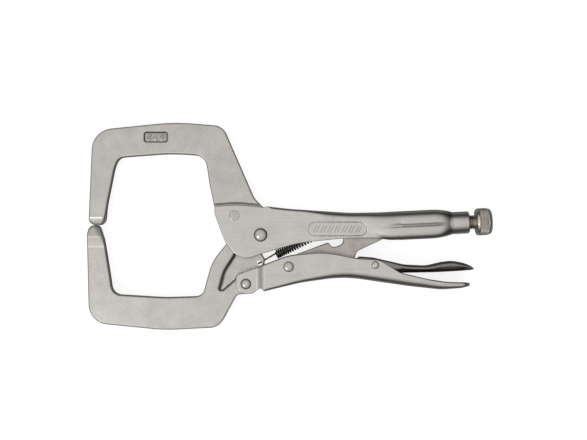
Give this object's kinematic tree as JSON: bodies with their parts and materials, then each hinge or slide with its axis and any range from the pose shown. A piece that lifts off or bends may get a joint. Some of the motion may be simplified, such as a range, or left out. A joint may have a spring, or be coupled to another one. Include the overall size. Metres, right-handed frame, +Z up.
{
  "type": "locking c-clamp pliers",
  "caption": "Locking pliers with two forged C-shaped clamp jaws, a toggle linkage between sheet steel handles, a release lever and a knurled adjusting screw.",
  "frame": {"origin": "middle of the underside of the whole tool as it lies on its side, shut and locked", "axes": "+X along the handles towards the adjusting knob, +Y from the lower handle towards the upper one, +Z up through the thickness"},
  "size_m": [0.279, 0.1422, 0.0214],
  "materials": {
    "plated_sheet": "satin nickel plated pressed steel",
    "plated_forging": "satin nickel plated, fine blasted forging",
    "rivet": "nickel plated rivet heads, smooth",
    "plated_link": "satin nickel plated",
    "polished_lever": "bright nickel, polished",
    "screw": "machined thread, lightly oiled",
    "knob": "knurled and nickel plated",
    "spring_wire": "dark drawn spring wire"
  },
  "bodies": {
    "upper_body": {"upper_handle": "plated_sheet", "fixed_jaw": "plated_forging", "jaw_rivet": "rivet", "pivot_rivet": "rivet", "tension_spring": "spring_wire"},
    "lower_jaw_body": {"lower_jaw": "plated_forging", "ear_rivet": "rivet"},
    "lower_handle_body": {"lower_handle": "plated_sheet", "link_rivet": "rivet", "lever_rivet": "rivet"},
    "link_body": {"toggle_link": "plated_link"},
    "lever_body": {"release_lever": "polished_lever"},
    "screw_body": {"screw_shank": "screw"},
    "knob_body": {"screw_knob": "knob"}
  },
  "joints": [
    {"name": "jaw_pivot", "type": "hinge", "parent": "upper_body", "child": "lower_jaw_body", "pos_m": [-0.02001, -0.00588, 0.0107], "axis": [0, 0, 1], "range_deg": [0, 44], "deforming": ["tension_spring"]},
    {"name": "ear_pivot", "type": "hinge", "parent": "lower_jaw_body", "child": "lower_handle_body", "pos_m": [-0.03011, -0.03948, 0.0107], "axis": [0, 0, 1], "range_deg": [-104.3, 0]},
    {"name": "link_pivot", "type": "hinge", "parent": "lower_handle_body", "child": "link_body", "pos_m": [-0.00081, -0.02757, 0.0107], "axis": [0, 0, 1], "range_deg": [0, 94]},
    {"name": "lever_pivot", "type": "hinge", "parent": "lower_handle_body", "child": "lever_body", "pos_m": [0.05849, -0.02637, 0.0107], "axis": [0, 0, 1], "range_deg": [-6.5, 0]},
    {"name": "screw_feed", "type": "slide", "parent": "upper_body", "child": "screw_body", "axis": [0.9989, 0.0471, 0], "range_m": [0, 0.028]},
    {"name": "knob_turn", "type": "hinge", "parent": "screw_body", "child": "knob_body", "pos_m": [0.12809, 0.00293, 0.0107], "axis": [0.9989, 0.0471, 0], "range_deg": [0, 6721]}
  ],
  "couplings": [
    {"joint": "ear_pivot", "follows": "jaw_pivot", "ratio": -2.3682},
    {"joint": "link_pivot", "follows": "jaw_pivot", "ratio": 2.1341},
    {"joint": "knob_turn", "follows": "screw_feed", "rad_per_m": 4188.8}
  ]
}
